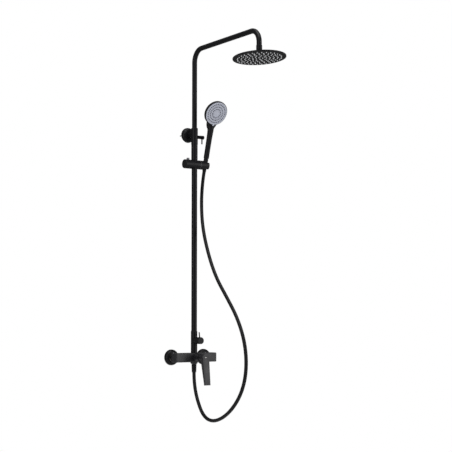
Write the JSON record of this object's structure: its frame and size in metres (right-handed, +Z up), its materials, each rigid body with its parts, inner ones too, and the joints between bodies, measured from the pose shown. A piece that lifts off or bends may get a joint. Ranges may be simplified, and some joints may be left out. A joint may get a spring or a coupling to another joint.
{
  "type": "rainfall shower column",
  "caption": "Wall-mounted matte black shower column with a bar mixer, telescopic swivel arm, round rain head, and a hand shower with its hose on a height-adjustable slider.",
  "frame": {"origin": "on the wall plane, at the height of the mixer bar's axis and midway between its two wall inlets", "axes": "+Y into the wall, along the inlets; +Z up, along the riser; +X along the wall, to the viewer's right"},
  "size_m": [0.212, 0.625, 1.4794],
  "materials": {
    "black_coat": "matte black coat over brass or steel",
    "black_plastic": "satin black plastic",
    "brass": "machined brass",
    "grey_face": "satin blue-grey plastic",
    "grey_silicone": "soft grey silicone",
    "grey_plastic": "satin grey plastic",
    "white_plastic": "moulded acetal",
    "ceramic": "ground ceramic",
    "steel": "stainless steel",
    "rubber": "black rubber",
    "hose": "smooth matte black hose"
  },
  "bodies": {
    "root": {"mixer_body": "black_coat", "wall_union_left": "brass", "wall_union_right": "brass", "wall_flange_left": "black_coat", "wall_flange_right": "black_coat", "union_nuts": "black_coat", "inlet_nipples": "brass", "fibre_washers": "rubber", "outlet_nipple": "black_coat", "hose_nut": "black_coat", "cartridge_housing": "white_plastic", "ceramic_base": "ceramic", "cartridge_nut": "brass", "cartridge_cap": "black_coat", "diverter_body": "black_coat", "diverter_cartridge": "white_plastic", "diverter_bonnet": "brass", "lower_tube": "black_coat", "seal_collar": "black_coat", "tube_o_rings": "rubber", "wall_bracket": "black_coat", "bracket_base": "brass", "bracket_screws": "steel", "bracket_flange": "black_coat", "bracket_grub_screw": "steel", "hose": "hose"},
    "telescope": {"guide_bush": "white_plastic"},
    "arm": {"arm_tube": "black_coat", "arm_end": "brass", "ball_fitting": "black_coat"},
    "ball_ring": {"ball_ring": "white_plastic"},
    "ball_seat": {"ball_seat": "white_plastic"},
    "rain_head": {"head_hub": "black_coat", "head_shell": "black_coat", "head_face": "black_coat", "head_nozzles": "grey_silicone"},
    "slider": {"slider_body": "black_coat", "slider_cap": "black_plastic", "slider_liner": "white_plastic", "friction_ring": "grey_plastic", "holder_axle": "steel", "button_spring": "steel"},
    "slider_button": {"slider_button": "grey_plastic"},
    "brake": {"brake_shoe": "white_plastic"},
    "holder": {"handset_holder": "black_plastic"},
    "hose_end": {"cone_nut": "black_coat"},
    "hand_shower": {"handset_body": "black_plastic", "handset_connector": "brass", "handset_washer": "rubber"},
    "spray_dial": {"spray_plate": "grey_face", "spray_nozzles": "grey_silicone"},
    "turret": {"cartridge_turret": "white_plastic"},
    "lever": {"lever": "black_coat", "lever_screw": "steel", "cartridge_stem": "steel"},
    "diverter_knob": {"diverter_knob": "black_coat", "diverter_pin": "black_coat", "diverter_stem": "steel"},
    "lock_knob": {"lock_knob": "black_coat", "lock_pin": "black_coat"}
  },
  "joints": [
    {"name": "arm_height", "type": "slide", "parent": "root", "child": "telescope", "axis": [0, 0, 1], "range_m": [-0.2, 0.1]},
    {"name": "arm_swivel", "type": "hinge", "parent": "telescope", "child": "arm", "pos_m": [0, -0.052, 1], "axis": [0, 0, 1], "range_deg": [-80, 80]},
    {"name": "head_tilt_x", "type": "hinge", "parent": "arm", "child": "ball_ring", "pos_m": [0, -0.494, 1.133], "axis": [1, 0, 0], "range_deg": [-8, 14]},
    {"name": "head_tilt_y", "type": "hinge", "parent": "ball_ring", "child": "ball_seat", "pos_m": [0, -0.494, 1.133], "axis": [0, 1, 0], "range_deg": [-10, 12]},
    {"name": "head_spin", "type": "hinge", "parent": "ball_seat", "child": "rain_head", "pos_m": [0, -0.494, 1.133], "axis": [-0.0209, 0.068, 0.9975], "continuous": true},
    {"name": "slider_height", "type": "slide", "parent": "root", "child": "slider", "axis": [0, 0, 1], "range_m": [-0.6, 0], "deforming": ["hose"]},
    {"name": "button_press", "type": "slide", "parent": "slider", "child": "slider_button", "axis": [0, 0, -1], "range_m": [0, 0.003], "stiffness_N_per_m": 900, "springref_m": -0.002, "deforming": ["button_spring"]},
    {"name": "brake_release", "type": "slide", "parent": "slider", "child": "brake", "axis": [-1, 0, 0], "range_m": [0, 0.0006]},
    {"name": "holder_turn", "type": "hinge", "parent": "slider", "child": "holder", "pos_m": [0.03, -0.052, 0.7655], "axis": [1, 0, 0], "range_deg": [-5, 60]},
    {"name": "handset_lift", "type": "slide", "parent": "holder", "child": "hose_end", "axis": [0, -0.2756, 0.9613], "range_m": [0, 0.06]},
    {"name": "handset_turn", "type": "hinge", "parent": "hose_end", "child": "hand_shower", "pos_m": [0.048, -0.0565, 0.7655], "axis": [0, -0.2756, 0.9613], "range_deg": [-15, 90]},
    {"name": "spray_select", "type": "hinge", "parent": "hand_shower", "child": "spray_dial", "pos_m": [0.048, -0.1385, 0.9633], "axis": [0, -0.866, -0.5], "range_deg": [-30, 30]},
    {"name": "lever_mix", "type": "hinge", "parent": "root", "child": "turret", "pos_m": [0, -0.1, 0], "axis": [0, 1, 0], "range_deg": [-40, 40]},
    {"name": "lever_lift", "type": "hinge", "parent": "turret", "child": "lever", "pos_m": [0, -0.1, 0], "axis": [-1, 0, 0], "range_deg": [0, 24]},
    {"name": "diverter_turn", "type": "hinge", "parent": "root", "child": "diverter_knob", "pos_m": [0, -0.09, 0.0665], "axis": [0, -1, 0], "range_deg": [0, 90]},
    {"name": "lock_turn", "type": "hinge", "parent": "root", "child": "lock_knob", "pos_m": [0.03, -0.052, 0.877], "axis": [1, 0, 0], "range_deg": [0, 270]}
  ],
  "couplings": [
    {"joint": "brake_release", "follows": "button_press", "ratio": 0.2}
  ]
}
